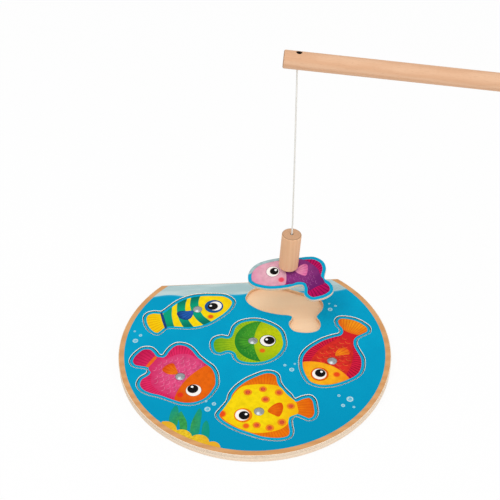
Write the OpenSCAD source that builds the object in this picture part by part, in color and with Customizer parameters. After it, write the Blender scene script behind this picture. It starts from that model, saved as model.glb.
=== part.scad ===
// Magnetic fishing game: a round two-layer board with six fish that lift out,
// and a wooden rod with a magnet on a string. One fish is drawn lifted on the magnet.
// Millimetres, +Z up. Origin: centre of the board's round edge, on its underside.

/* [Board] */
// Radius of the round edge
board_r = 110; // [90:1:140]
// Depth of the piece cut off at the back, which leaves the straight edge
back_cut = 31.5; // [20:0.5:40]
// Thickness of the plain lower layer
base_t = 4.5; // [3:0.5:8]
// Thickness of the upper layer, which has the fish cut out of it
top_t = 3; // [3:0.5:8]
// Bevel along the outer edges
board_bevel = 0.8; // [0.3:0.1:1.4]
// Width of the bare wood rim round the print
rim_w = 4.6; // [2:0.2:5]
// Width of the strip of sky along the back
sky_w = 14.5; // [6:0.5:18]

/* [Fish] */
// Thickness of a fish
fish_t = 2.5; // [2.2:0.1:2.9]
// Width of the saw cut, which leaves the play round each fish
saw_cut = 0.7; // [0.6:0.1:1.4]
// Width of the bare margin round each recess
recess_margin = 0.6; // [0.3:0.1:1]
// Width of the sea-coloured border round each picture
border_w = 2.2; // [1.6:0.1:2.6]
// Thickness of one printed colour
ink_t = 0.06; // [0.04:0.01:0.1]

/* [Steel studs] */
// Diameter of the head
stud_d = 8; // [6:0.5:9]
// Height of the domed head
stud_dome = 1.6; // [1.2:0.1:2]
// Diameter of the shank
stud_shank_d = 3; // [2:0.5:4]
// Length of the shank, pressed into the fish
stud_shank_l = 1.8; // [1.2:0.1:2]

/* [Rod] */
// Diameter of the rod
rod_d = 13; // [10:0.5:16]
// Length of the rod
rod_l = 200; // [120:5:300]
// Rounding of the rod's ends
rod_edge = 1.2; // [0.5:0.1:2.5]
// From the tip to the string's hole
rod_hole_in = 10.5; // [8:0.5:20]
// How far the handle droops below the tip, in degrees
rod_droop = 5.4; // [0:0.2:12]
// How far the handle swings towards the front, in degrees
rod_swing = 6.4; // [0:0.2:20]

/* [Magnet holder] */
// Diameter of the wooden holder
holder_d = 16; // [14:0.5:20]
// Length of the holder
holder_l = 34; // [26:1:45]
// Rounding of the holder's ends
holder_edge = 1.1; // [0.3:0.1:2]
// Diameter of the magnet
magnet_d = 8; // [6:0.5:10]
// Thickness of the magnet
magnet_t = 5; // [3:0.5:8]

/* [String] */
// Diameter of the string
string_d = 1.3; // [1:0.1:1.8]
// Diameter of the holes that the string passes through
string_hole_d = 2.2; // [2.2:0.1:3]
// Diameter of the knots
knot_d = 4.2; // [3.5:0.1:4.8]
// Depth of the hole for the knot in the rod, from the top
rod_knot_depth = 7; // [5:0.5:8]

/* [Lifted fish] */
// Tip of the lifted fish towards the front, in degrees
lift_tip = 10; // [0:0.5:12]
// Roll of the lifted fish, in degrees
lift_roll = -5; // [-6:0.5:4]
// Turn of the lifted fish about the string, in degrees
lift_turn = 11; // [-30:1:40]
// How far its stud is caught to the right of the magnet's middle
lift_right = 1.5; // [0:0.1:2]
// How far its stud is caught behind the magnet's middle
lift_behind = 1.6; // [0:0.1:2]

/* [Hidden] */
$fn = 64;

wood = [0.91, 0.73, 0.56];
sea_blue = [0.0, 0.59, 0.78];
sky_grey = [0.68, 0.79, 0.80];
foam = [0.80, 0.90, 0.93];
white = [0.98, 0.97, 0.95];
black = [0.09, 0.08, 0.08];
steel = [0.72, 0.73, 0.74];
yellow = [0.97, 0.83, 0.05];
band_green = [0.05, 0.55, 0.42];
navy = [0.09, 0.22, 0.42];
fin_blue = [0.12, 0.32, 0.62];
orange = [0.92, 0.42, 0.04];
cheek_orange = [0.88, 0.38, 0.12];
leaf_green = [0.22, 0.55, 0.15];
mid_green = [0.33, 0.62, 0.14];
lime = [0.72, 0.77, 0.06];
pink = [0.88, 0.30, 0.45];
crimson = [0.84, 0.10, 0.28];
red = [0.83, 0.17, 0.15];
amber = [0.97, 0.62, 0.03];
tail_orange = [0.92, 0.52, 0.04];
spot_orange = [0.90, 0.40, 0.20];
head_pink = [0.90, 0.60, 0.72];
purple = [0.52, 0.16, 0.45];
magenta = [0.76, 0.06, 0.36];

board_back = board_r - back_cut;
// Places and outlines are drawn for a board of this radius and back, and follow both
drawn_for = [110, 78.5];
plan_k = min(board_r / drawn_for[0], board_back / drawn_for[1]);

play = 0.1;
ink_bed = 0.3;
ink_gap = 0.3;
// How far a colour stays inside the one below it
ink_step = 0.15;
foam_w = 0.9;
smooth_steps = 4;

// Where each fish lies: x, y and turn on the board
striped_place = [-46, 47, 13];
green_place = [-1, 7, 4];
pink_place = [-60, -29, -33];
spotted_place = [0, -68, 2];
red_place = [61, -19, 58];
purple_place = [32, 56, -10];

// The saw cut round each fish, about its stud, anticlockwise from the nose
striped_cut = [
    [33, 0], [31, 7], [26, 12], [18, 15], [9, 17.5], [0, 18.5], [-8, 17.5], [-16, 14.5],
    [-24, 9.5], [-30, 6], [-36, 8], [-42, 7.5], [-46, 3], [-47, -5], [-45.5, -13], [-42, -19],
    [-38, -21], [-34, -19], [-29, -16], [-22, -18], [-14, -21], [-5, -22.5], [4, -21.5],
    [13, -18], [22, -13], [29, -7],
];
green_cut = [
    [27, 0], [26, 8], [22.5, 14.5], [16, 20.5], [8, 25], [-1, 26], [-9, 24], [-14.5, 19],
    [-17, 13], [-19.5, 8], [-25, 9.5], [-31, 8], [-34.5, 3], [-35, -4], [-33, -10],
    [-28, -12.5], [-22, -11], [-18.5, -13], [-17.5, -18], [-14, -23], [-7, -26], [1, -27],
    [9, -26], [17, -22], [23, -15.5], [26.5, -8],
];
pink_cut = [
    [32, 0], [31, 7], [28, 12.5], [23.5, 18], [17, 22.5], [9, 24.5], [1, 27], [-7, 31],
    [-15, 32.5], [-22, 30], [-25, 25], [-25.5, 18], [-25, 12.5], [-28, 11.5], [-32, 13.5],
    [-38, 15], [-44, 11.5], [-46, 5], [-46, -2], [-43.5, -7.5], [-38, -10], [-32, -8.5],
    [-27, -7], [-25, -10.5], [-27, -17], [-25, -24], [-19, -28], [-11, -28.5], [-2, -26.5],
    [8, -25.5], [17, -24], [25, -19.5], [30, -13], [32, -6.5],
];
spotted_cut = [
    [-33, 0], [-31, -6], [-26, -11.5], [-19, -17], [-11, -21.5], [-2, -26], [7, -28.5],
    [15, -29], [21, -27], [23.5, -22], [23.5, -15], [24, -10], [27, -7.5], [31, -9.5],
    [36, -12.5], [41, -11], [44, -6], [44.5, 1], [44, 8], [40.5, 12.5], [34, 12], [28.5, 10],
    [26, 15], [22, 21.5], [19.5, 28], [19, 35], [15.5, 39.5], [9, 41], [1, 38.5], [-8, 34],
    [-16, 27.5], [-21.5, 20], [-24, 12.5], [-28.5, 6.5],
];
red_cut = [
    [-31, 1], [-29.5, -5], [-25.5, -11.5], [-20, -17], [-13, -22], [-6, -25.5], [1, -26.5],
    [9, -24.5], [16, -20.5], [21, -15], [26, -10], [32, -8], [38, -11], [44, -13.5],
    [49.5, -11], [52.5, -4.5], [53.5, 3], [52, 11], [48.5, 17], [43, 18], [38, 14.5],
    [35, 10], [31, 8.5], [27, 12], [20, 17.5], [12, 21.5], [3, 24.5], [-6, 25], [-14, 22.5],
    [-21, 18], [-27, 12], [-30.5, 6.5],
];
purple_cut = [
    [-36, -3], [-35, -7], [-32, -11], [-27, -14.5], [-21, -17.5], [-13, -19.5], [-5, -20.5],
    [2, -20.5], [5.5, -22], [5.5, -25.5], [4, -30], [5, -34.5], [8.5, -38.5], [14, -39.5],
    [21, -39], [27, -36], [29, -31], [28, -25.5], [25, -20.5], [26.5, -16], [29, -11],
    [29.5, -5], [27.5, 0], [23, 4.5], [17, 6.5], [11, 7.5], [4, 9.5], [-4, 12], [-13, 13],
    [-22, 12.5], [-29, 9.5], [-34, 4],
];

// Route of the string, from the holder's hole up to the rod's, slightly off plumb
string_route = [
    [33, 50.5, 82.5], [33.2, 50.5, 86.5], [33.4, 50.5, 94.5], [33.5, 50.5, 109.5],
    [33.6, 50.5, 124.5], [33.7, 50.5, 139.5], [33.8, 50.5, 159.5], [33.9, 50.5, 179.5],
    [33.9, 50.5, 199.5], [34, 50.5, 219.5], [34, 50.5, 231.5],
];
string_step = 3.6;

// The holder leans a little, because the fish is caught off its balance
holder_axis = unit([0.07, 0, 1]);
holder_lean = atan2(holder_axis[0], holder_axis[2]);
holder_top = string_route[0];
holder_foot = holder_top - holder_l * holder_axis;
knot_room_d = knot_d + 2 * play;
holder_hole_l = holder_l - magnet_t - knot_room_d;
// A knot is pulled against the edge of its hole, this far from its middle
knot_seat = sqrt(knot_d * knot_d - string_hole_d * string_hole_d) / 2;
knot_reach = (knot_d - string_d / 4) / 2 - knot_seat;

// The rod hangs over the string's upper end
rod_exit = string_route[len(string_route) - 1];
rod_up = [
    sin(rod_droop) * cos(rod_swing), -sin(rod_droop) * sin(rod_swing), cos(rod_droop),
];
rod_hole_centre = rod_exit + rod_up * rod_d / 2;

// The stud's head is part of a ball, and the magnet sits on its top
stud_ball_r = (stud_d * stud_d / 4 + stud_dome * stud_dome) / (2 * stud_dome);
stud_gap = 0.05;
stud_ball_centre = holder_foot - (stud_ball_r + stud_gap) * holder_axis
    + lift_right * [holder_axis[2], 0, -holder_axis[0]] + lift_behind * [0, 1, 0];

function unit(v) = v / norm(v);
function nth(p, i) = p[(i + len(p)) % len(p)];
// A point on the curve that runs smoothly through b and c, with a and d beyond them
function between(a, b, c, d, t) =
    (2 * b + (c - a) * t + (2 * a - 5 * b + 4 * c - d) * t * t
    + (3 * b - a - 3 * c + d) * t * t * t) / 2;
// A closed smooth curve through the points of the plan
function loop(p, steps = smooth_steps) = [
    for (i = [0 : len(p) - 1], j = [0 : steps - 1])
        between(nth(p, i - 1), nth(p, i), nth(p, i + 1), nth(p, i + 2), j / steps) * plan_k
];
// The way out of an anticlockwise loop at one of its points
function outward(p, i) =
    let (along = unit(nth(p, i + 1) - nth(p, i - 1))) [along[1], -along[0]];
// The loop moved outwards everywhere by one distance
function moved(p, by) = [for (i = [0 : len(p) - 1]) p[i] + by * outward(p, i)];
// The water below a wavy line at height y
function wave_field(y) = concat(
    [[board_r, -board_r]],
    [for (x = [board_r : -4 : -board_r]) [x, y + 1.3 * sin(x * 9) + 0.8 * sin(x * 4 + 60)]],
    [[-board_r, y], [-board_r, -board_r]]
);

module on_board(place, z) {
    translate([place[0] * plan_k, place[1] * plan_k, z]) rotate([0, 0, place[2]]) children();
}

module on_lifted_fish() {
    translate(stud_ball_centre)
        rotate([lift_tip, 0, 0]) rotate([0, lift_roll, 0]) rotate([0, 0, lift_turn])
            translate([0, 0, stud_ball_r - stud_dome - fish_t]) children();
}

// A board layer: a disc with a straight back, bevelled below, above or not
module board_layer(t, low, high) {
    back_profile = [
        [-2 * board_r, 0], [board_back - low, 0], [board_back, low],
        [board_back, t - high], [board_back - high, t], [-2 * board_r, t],
    ];
    intersection() {
        rotate_extrude($fn = 180)
            polygon([
                [0, 0], [board_r - low, 0], [board_r, low],
                [board_r, t - high], [board_r - high, t], [0, t],
            ]);
        rotate([90, 0, 90])
            translate([0, 0, -1.5 * board_r]) linear_extrude(3 * board_r) polygon(back_profile);
    }
}

module base_board() {
    color(wood) board_layer(base_t, board_bevel, 0);
}

// All six fish shapes, grown by one distance
module six_shapes(by) {
    on_flat(striped_place) polygon(moved(loop(striped_cut), by));
    on_flat(green_place) polygon(moved(loop(green_cut), by));
    on_flat(pink_place) polygon(moved(loop(pink_cut), by));
    on_flat(spotted_place) polygon(moved(loop(spotted_cut), by));
    on_flat(red_place) polygon(moved(loop(red_cut), by));
    on_flat(purple_place) polygon(moved(loop(purple_cut), by));
}

module on_flat(place) {
    translate([place[0], place[1]] * plan_k) rotate(place[2]) children();
}

// The printed ground inside the bare rim, up to the straight back
module print_ground() {
    intersection() {
        circle(board_r - rim_w, $fn = 180);
        translate([-board_r, -2 * board_r])
            square([2 * board_r, 2 * board_r + board_back - board_bevel]);
    }
}

// Flat shapes of the plan: a smooth patch, a round one and a straight one
module patch(points) {
    polygon(loop(points));
}

module dot(at, r) {
    translate(at * plan_k) circle(r * plan_k);
}

module strip(at, size) {
    translate(at * plan_k) square(size * plan_k);
}

// A slice of a ring, for bands and fin edges
module hoop(at, r, w) {
    difference() {
        dot(at, r, $fn = 120);
        dot(at, r - w, $fn = 120);
    }
}

// A blade of seaweed from its foot, swaying to one side
module seaweed(foot, tall, wide, sway) {
    translate(foot * plan_k)
        polygon(loop([
            [-wide / 2, 0], [0, -1], [wide / 2, 0], [wide * 0.6 + sway * 0.3, tall * 0.45],
            [sway + wide * 0.3, tall * 0.85], [sway, tall],
            [sway - wide * 0.5, tall * 0.8], [-wide * 0.55 + sway * 0.2, tall * 0.4],
        ], 3));
}

rocks = [[-71, -83, 9], [-59, -91, 8.5], [-46, -96, 8], [-36, -101, 6]];
bubble_core = 0.55;
bubbles = [
    [-97, 12, 2.2], [-93, 18, 1.3], [-98, 23, 0.9], [-39, -64, 2.3], [-34, -59, 1.6],
    [-40, -56, 1.0], [23, -22, 1.2], [28, -27, 1.9], [31, -21, 0.8], [66, 40, 1.9],
    [71, 44, 1.1], [66, 47, 0.8], [70, -60, 2.6], [64, -66, 1.5], [72, -68, 1.0],
    [62, -56, 1.2],
];

module top_board() {
    difference() {
        union() {
            color(wood) board_layer(top_t, 0, board_bevel);
            color(sky_grey) top_ink(1) print_ground();
            color(foam) top_ink(2) intersection() {
                print_ground();
                polygon(wave_field(board_back - sky_w + foam_w));
            }
            color(sea_blue) top_ink(3) intersection() {
                print_ground();
                polygon(wave_field(board_back - sky_w));
            }
            color(mid_green) top_ink(4) {
                seaweed([-66, -80], 21, 6, 2);
                seaweed([-57, -84], 19, 5, -2);
                seaweed([-49, -88], 25, 6, 4);
                seaweed([-41, -92], 17, 5, 1);
            }
            color(amber) top_ink(5) intersection() {
                circle(board_r - rim_w - ink_gap, $fn = 180);
                union() for (r = rocks) dot([r[0], r[1]], r[2]);
            }
            color(white) top_ink(4) for (b = bubbles) dot([b[0], b[1]], b[2], $fn = 24);
            color(sky_grey) top_ink(5)
                for (b = bubbles) dot([b[0], b[1]], b[2] * bubble_core, $fn = 24);
        }
        translate([0, 0, -1]) linear_extrude(top_t + 2) six_shapes(saw_cut / 2);
        translate([0, 0, top_t]) linear_extrude(1) six_shapes(saw_cut / 2 + recess_margin);
    }
}

// One printed colour on the board, the higher level on top
module top_ink(level) {
    translate([0, 0, top_t - ink_bed]) linear_extrude(ink_bed + level * ink_t) children();
}

// One printed colour on a fish
module ink(level, colour) {
    color(colour) translate([0, 0, fish_t - ink_bed])
        linear_extrude(ink_bed + level * ink_t) children();
}

// A fish blank with its border colour, its picture, and the seat for its stud
module fish(cut) {
    shape = loop(cut);
    difference() {
        union() {
            color(wood) linear_extrude(fish_t) polygon(moved(shape, -saw_cut / 2));
            ink(1, sea_blue) polygon(moved(shape, -saw_cut / 2 - ink_gap));
            children();
        }
        translate([0, 0, fish_t]) cylinder(h = 2, d = stud_d + 2 * play);
        translate([0, 0, fish_t - stud_shank_l - play])
            cylinder(h = stud_shank_l + 1, d = stud_shank_d);
    }
}

// The picture's area: the cut moved in by the border
module inside_border(cut, more = 0) {
    polygon(moved(loop(cut), -saw_cut / 2 - border_w - more));
}

module disc_ink(level, colour, at, r) {
    ink(level, colour) dot(at, r, $fn = 40);
}

// A round eye: ring, white, pupil and a glint
module eye(at, ring, ring_r, look) {
    disc_ink(4, ring, at, ring_r);
    disc_ink(5, white, at, ring_r - 1.3);
    disc_ink(6, black, at + look, ring_r - 3);
    disc_ink(7, white, at + look + [-1.4, 1.5], 1.1);
}

module stud() {
    color(steel) {
        intersection() {
            translate([0, 0, stud_dome - stud_ball_r]) sphere(stud_ball_r, $fn = 96);
            cylinder(h = 2 * stud_dome, d = stud_d);
        }
        translate([0, 0, -stud_shank_l]) cylinder(h = stud_shank_l + 0.2, d = stud_shank_d);
    }
}

module striped_fish() {
    on_board(striped_place, base_t) fish(striped_cut) {
        ink(2, yellow) inside_border(striped_cut);
        // Bands are slices of rings about a point near the nose
        for (outer = [32, 45, 59])
            ink(3, band_green) intersection() {
                inside_border(striped_cut, ink_step);
                hoop([30, 0], outer, 6.7);
            }
        ink(4, navy) intersection() {
            inside_border(striped_cut, 2 * ink_step);
            strip([-31.5, -20], [1.8, 30]);
        }
        ink(4, fin_blue)
            patch([[-4, -1], [-9, 0.5], [-15, 2], [-18, 0], [-17, -6], [-12, -10], [-7, -8]]);
        eye([14.5, -0.5], navy, 7.6, [-1.2, 0.2]);
        disc_ink(4, cheek_orange, [8, -12], 2.2);
    }
}

module striped_fish_stud() {
    on_board(striped_place, base_t + fish_t) stud();
}

module green_fish() {
    on_board(green_place, base_t) fish(green_cut) {
        ink(2, lime) inside_border(green_cut);
        ink(3, leaf_green) intersection() {
            inside_border(green_cut, ink_step);
            union() {
                dot([3, -1], 19.5, $fn = 90);
                strip([-22, -9], [12, 15.5]);
            }
        }
        ink(4, lime) intersection() {
            dot([3, -1], 19.8, $fn = 90);
            dot([27, -1], 24.5, $fn = 90);
        }
        ink(5, mid_green)
            patch([[-1, 2], [-6, 6.5], [-11, 5], [-13, -1], [-11, -7], [-6, -8], [-1, -4]]);
        eye([12, -1.5], black, 6.8, [1.3, 0.3]);
        disc_ink(5, cheek_orange, [5.5, -12], 2.1);
    }
}

module green_fish_stud() {
    on_board(green_place, base_t + fish_t) stud();
}

module pink_fish() {
    on_board(pink_place, base_t) fish(pink_cut) {
        ink(2, crimson) inside_border(pink_cut);
        ink(3, pink)
            patch([
                [8, 21.5], [0, 23.5], [-9, 23], [-16, 18], [-20, 11], [-27, 8], [-27, -4.5],
                [-21, -9], [-16, -17], [-8, -20.5], [1, -21], [8, -20], [16, -8], [16, 8],
            ]);
        ink(4, orange) intersection() {
            inside_border(pink_cut, ink_step);
            dot([60, -4], 54.3, $fn = 180);
        }
        ink(4, orange) intersection() {
            inside_border(pink_cut, ink_step);
            strip([-30, -12], [2.4, 24]);
        }
        ink(5, orange)
            patch([[-3.5, 1.5], [-8, 6], [-13, 9], [-16.5, 4], [-16, -1.5], [-9, -2.5]]);
        eye([17, -6.8], black, 6.7, [-1.6, 0.6]);
        disc_ink(5, cheek_orange, [10, -16], 2.3);
    }
}

module pink_fish_stud() {
    on_board(pink_place, base_t + fish_t) stud();
}

module spotted_fish() {
    spots = [
        [-7, 20], [5, 22], [17, 17.5], [6, 11.5], [24.5, 3], [-3, -13], [6.5, -16.5],
        [16, -12],
    ];
    on_board(spotted_place, base_t) fish(spotted_cut) {
        ink(2, orange) inside_border(spotted_cut);
        ink(3, yellow)
            patch([
                [-29.5, 0.5], [-27, 4.5], [-21.5, 13], [-16, 21.5], [-10, 26.5], [0, 27.5],
                [10, 26.5], [18, 23.5], [23, 15], [28.5, 7.5], [29.5, 2], [29, -4.5],
                [22.5, -7.5], [20, -14], [14, -18.5], [4, -20.5], [-6, -20], [-15, -15.5],
                [-23, -9.5], [-27.5, -4.5],
            ]);
        disc_ink(4, red, [-28.5, 0.3], 2.4);
        for (s = spots) {
            disc_ink(4, tail_orange, s, 3.3);
            disc_ink(5, spot_orange, s, 2);
        }
        ink(4, orange)
            patch([[6.5, 0], [12, 6], [17.5, 7], [18.5, 1.5], [15, -6], [11, -4.5]]);
        eye([-12.3, -2.6], orange, 6.9, [0.6, 0.2]);
        disc_ink(4, cheek_orange, [-11, -13], 2.1);
    }
}

module spotted_fish_stud() {
    on_board(spotted_place, base_t + fish_t) stud();
}

module red_fish() {
    on_board(red_place, base_t) fish(red_cut) {
        ink(2, crimson) inside_border(red_cut);
        ink(3, red)
            patch([
                [-16, 14], [-8, 16.8], [4, 17], [14, 14], [22, 10], [30, 5.5], [36, 5.5],
                [36, -5.5], [30, -5.5], [22, -9.5], [14, -14], [4, -17.5], [-6, -18.5],
                [-16, -14],
            ]);
        ink(4, tail_orange) intersection() {
            inside_border(red_cut, ink_step);
            dot([62, 1], 26.5, $fn = 120);
        }
        ink(4, amber) intersection() {
            inside_border(red_cut, ink_step);
            dot([-40, -1], 35, $fn = 120);
        }
        ink(5, orange)
            patch([[6.5, 0], [12, 1.5], [17, -1], [17.5, -5.5], [13.5, -9], [10.5, -5]]);
        eye([-17.6, 2.4], orange, 7, [1.3, 0.1]);
        disc_ink(5, cheek_orange, [-11.5, -9], 2.4);
    }
}

module red_fish_stud() {
    on_board(red_place, base_t + fish_t) stud();
}

module purple_fish() {
    on_lifted_fish() fish(purple_cut) {
        // Its back lies above the water line, where the border has the sky's colour
        ink(1.5, sky_grey) intersection() {
            polygon(moved(loop(purple_cut), -saw_cut / 2 - ink_gap - ink_step));
            rotate(-purple_place[2])
                translate([-board_r, board_back - sky_w - purple_place[1] * plan_k])
                    square([2 * board_r, board_r]);
        }
        ink(2, magenta) inside_border(purple_cut);
        ink(3, purple)
            patch([
                [-2, 9], [6, 7], [13, 4.2], [18, -1], [22, -9], [22.5, -17], [23.5, -21.5],
                [23, -25], [16, -26.5], [9, -28.5], [8.5, -24.5], [8, -20.5], [3, -18],
                [-4, -18.2], [-12, -10], [-12, 2],
            ]);
        ink(4, head_pink) intersection() {
            inside_border(purple_cut, ink_step);
            dot([-32, -3], 28, $fn = 90);
        }
        ink(4, head_pink)
            patch([[4, -6], [9, -1.5], [14.5, -1.5], [14.5, -6], [10.5, -13]]);
        eye([-14, -0.8], black, 6.2, [1, 0.3]);
        disc_ink(5, cheek_orange, [-9.5, -11], 2.2);
    }
}

module purple_fish_stud() {
    on_lifted_fish() translate([0, 0, fish_t]) stud();
}

// A peg with rounded ends along +Z
module round_peg(l, d, edge) {
    rotate_extrude($fn = 96) {
        square([d / 2 - edge, l]);
        translate([0, edge]) square([d / 2, l - 2 * edge]);
        for (z = [edge, l - edge])
            translate([d / 2 - edge, z]) circle(edge, $fn = 24);
    }
}

module in_holder() {
    translate(holder_foot) rotate([0, holder_lean, 0]) children();
}

module magnet_holder() {
    color(wood) in_holder() difference() {
        round_peg(holder_l, holder_d, holder_edge);
        translate([0, 0, -1]) cylinder(h = 1 + magnet_t, d = magnet_d + 2 * play);
        translate([0, 0, -1]) cylinder(h = 1 + magnet_t + knot_room_d, d = knot_room_d);
        translate([0, 0, -1]) cylinder(h = holder_l + 2, d = string_hole_d);
    }
}

module magnet() {
    color(steel) in_holder() cylinder(h = magnet_t, d = magnet_d);
}

module knot() {
    color(white) sphere(d = knot_d, $fn = 32);
}

module holder_knot() {
    in_holder() translate([0, 0, magnet_t + knot_room_d - knot_seat]) knot();
}

module in_rod() {
    translate(rod_hole_centre) rotate([0, 0, -rod_swing]) rotate([0, rod_droop, 0]) children();
}

module rod() {
    color(wood) in_rod() difference() {
        translate([-rod_hole_in, 0, 0]) rotate([0, 90, 0]) round_peg(rod_l, rod_d, rod_edge);
        translate([0, 0, -rod_d]) cylinder(h = 2 * rod_d, d = string_hole_d);
        translate([0, 0, rod_d / 2 - rod_knot_depth]) cylinder(h = rod_d, d = knot_room_d);
    }
}

module rod_knot() {
    in_rod() translate([0, 0, rod_d / 2 - rod_knot_depth + knot_seat]) knot();
}

// A tube of eight sides along a list of points
module tube(p, d) {
    sides = 8;
    rings = len(p);
    function ahead(i) = unit(p[min(i + 1, rings - 1)] - p[max(i - 1, 0)]);
    function side(i) = unit(cross(ahead(i), [0, 1, 0]));
    points = [
        for (i = [0 : rings - 1], k = [0 : sides - 1])
            p[i] + d / 2 * (cos(k * 45) * side(i) + sin(k * 45) * cross(ahead(i), side(i)))
    ];
    walls = [
        for (i = [0 : rings - 2], k = [0 : sides - 1])
            let (a = i * sides + k, b = i * sides + (k + 1) % sides)
                [a, a + sides, b + sides, b]
    ];
    caps = [
        [for (k = [0 : sides - 1]) k],
        [for (k = [sides - 1 : -1 : 0]) (rings - 1) * sides + k],
    ];
    polyhedron(points, concat(walls, caps));
}

// The whole string: from the knot in the holder to the knot in the rod
string_points = concat(
    [
        holder_top - (holder_hole_l - knot_reach) * holder_axis,
        holder_top - holder_hole_l / 2 * holder_axis,
    ],
    string_route,
    [rod_exit + (rod_d - rod_knot_depth - knot_reach) * rod_up]
);

function open_curve(p, step) = concat(
    [for (i = [0 : len(p) - 2])
        let (n = max(1, round(norm(p[i + 1] - p[i]) / step)))
            for (j = [0 : n - 1])
                between(p[max(i - 1, 0)], p[i], p[i + 1], p[min(i + 2, len(p) - 1)], j / n)],
    [p[len(p) - 1]]
);

module string() {
    color(white) tube(open_curve(string_points, string_step), string_d);
}

base_board();
translate([0, 0, base_t]) top_board();
striped_fish();
striped_fish_stud();
green_fish();
green_fish_stud();
pink_fish();
pink_fish_stud();
spotted_fish();
spotted_fish_stud();
red_fish();
red_fish_stud();
purple_fish();
purple_fish_stud();
magnet_holder();
magnet();
holder_knot();
string();
rod_knot();
rod();
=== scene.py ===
import math
import bmesh
import bpy
from mathutils import Matrix, Vector


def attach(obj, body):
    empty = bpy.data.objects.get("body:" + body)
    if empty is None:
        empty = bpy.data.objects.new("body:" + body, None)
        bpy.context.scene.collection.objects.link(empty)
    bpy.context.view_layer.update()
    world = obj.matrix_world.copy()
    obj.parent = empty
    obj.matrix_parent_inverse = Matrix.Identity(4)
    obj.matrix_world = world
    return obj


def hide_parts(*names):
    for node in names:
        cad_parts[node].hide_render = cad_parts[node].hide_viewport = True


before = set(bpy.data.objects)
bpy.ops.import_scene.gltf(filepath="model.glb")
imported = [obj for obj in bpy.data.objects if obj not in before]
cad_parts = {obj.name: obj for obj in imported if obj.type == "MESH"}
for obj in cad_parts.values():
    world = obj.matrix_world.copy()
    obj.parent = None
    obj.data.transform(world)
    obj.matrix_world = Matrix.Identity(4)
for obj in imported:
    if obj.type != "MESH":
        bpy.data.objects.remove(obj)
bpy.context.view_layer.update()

mm = 0.001
print("frame loaded:", len(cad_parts), "CAD nodes")


# Camera: the photograph's viewpoint, turned about a point above the board's middle

photoView = {
    "azimuth": -2.21,
    "elevation": 39.85,
    "roll": -0.73,
    "distance": 0.7705,
    "aimRight": 0.0037,
    "aimUp": -0.0783,
    "aimHeight": 0.0075,
    "lens": 68.4,
    "sensor": 36,
}


def addObject(name, data):
    made = bpy.data.objects.new(name, data)
    bpy.context.scene.collection.objects.link(made)
    return made


def makeCamera():
    turn, rise, roll = [math.radians(photoView[key]) for key in ("azimuth", "elevation", "roll")]
    back = Vector((math.sin(turn) * math.cos(rise), -math.cos(turn) * math.cos(rise), math.sin(rise)))
    level = Vector((math.cos(turn), math.sin(turn), 0))
    above = back.cross(level)
    right = level * math.cos(roll) + above * math.sin(roll)
    up = above * math.cos(roll) - level * math.sin(roll)
    place = back * photoView["distance"] - right * photoView["aimRight"] - up * photoView["aimUp"]
    place.z += photoView["aimHeight"]
    data = bpy.data.cameras.new("photoCamera")
    data.lens = photoView["lens"]
    data.sensor_width = photoView["sensor"]
    camera = addObject("photoCamera", data)
    camera.matrix_world = Matrix((
        (right.x, up.x, back.x, place.x),
        (right.y, up.y, back.y, place.y),
        (right.z, up.z, back.z, place.z),
        (0, 0, 0, 1),
    ))
    bpy.context.scene.camera = camera


makeCamera()


# Node trees: sums on values add their own Math nodes

class Value:
    def __init__(self, tree, socket):
        self.tree = tree
        self.socket = socket

    def math(self, operation, *others):
        return self.tree.node("ShaderNodeMath", {"operation": operation}, dict(enumerate([self, *others])))

    def __add__(self, other):
        return self.math("ADD", other)

    __radd__ = __add__

    def __sub__(self, other):
        return self.math("SUBTRACT", other)

    def __rsub__(self, other):
        return self.math("MULTIPLY", -1) + other

    def __mul__(self, other):
        return self.math("MULTIPLY", other)

    __rmul__ = __mul__

    def __truediv__(self, other):
        return self.math("DIVIDE", other)

    def __pow__(self, other):
        return self.math("POWER", other)

    def __abs__(self):
        return self.math("ABSOLUTE")

    def sin(self):
        return self.math("SINE")

    def fract(self):
        return self.math("FRACT")

    def most(self, other):
        return self.math("MAXIMUM", other)

    def step(self, low, high):    # 0 below low, 1 above high, smooth between
        return self.tree.node(
            "ShaderNodeMapRange",
            {"interpolation_type": "SMOOTHSTEP", "clamp": True},
            {"Value": self, "From Min": low, "From Max": high})


class Tree:
    def __init__(self, tree):
        self.tree = tree

    def node(self, kind, settings=None, values=None, output=0):
        made = self.tree.nodes.new(kind)
        for name, setting in (settings or {}).items():
            setattr(made, name, setting)
        for name, value in (values or {}).items():
            self.plug(made.inputs[name], value)
        return Value(self, made.outputs[output])

    def plug(self, socket, value):
        if isinstance(value, Value):
            value = value.socket
        if isinstance(value, bpy.types.NodeSocket):
            self.tree.links.new(value, socket)
        else:
            socket.default_value = value

    def mix(self, first, second, share):
        return self.node(
            "ShaderNodeMix", {"data_type": "RGBA", "clamp_factor": True},
            {0: share, 6: lit(first), 7: lit(second)}, 2)

    def split(self, vector):
        made = self.node("ShaderNodeSeparateXYZ", None, {0: vector}).socket.node
        return [Value(self, made.outputs[i]) for i in range(3)]

    def join(self, x, y, z):
        return self.node("ShaderNodeCombineXYZ", None, {0: x, 1: y, 2: z})

    def place(self, origin=(0, 0, 0), turn=(0, 0, 0)):
        # the piece's own coordinates in mm, about an origin given in metres
        spot = self.node("ShaderNodeTexCoord", None, None, "Object")
        return self.node(
            "ShaderNodeMapping", {"vector_type": "TEXTURE"},
            {"Vector": spot, "Location": origin, "Rotation": turn, "Scale": (mm, mm, mm)})

    def noise(self, vector, scale, detail, roughness=0.5):
        return self.node(
            "ShaderNodeTexNoise", None,
            {"Vector": vector, "Scale": scale, "Detail": detail, "Roughness": roughness})

    def streaks(self, x, y, z, detail, roughness=0.5):
        return self.noise(self.join(x, y, z), 1.0, detail, roughness)

    def gather(self, parts):
        joined = self.node("GeometryNodeJoinGeometry")
        for part in parts:
            self.plug(joined.socket.node.inputs[0], part)
        return joined


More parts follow.
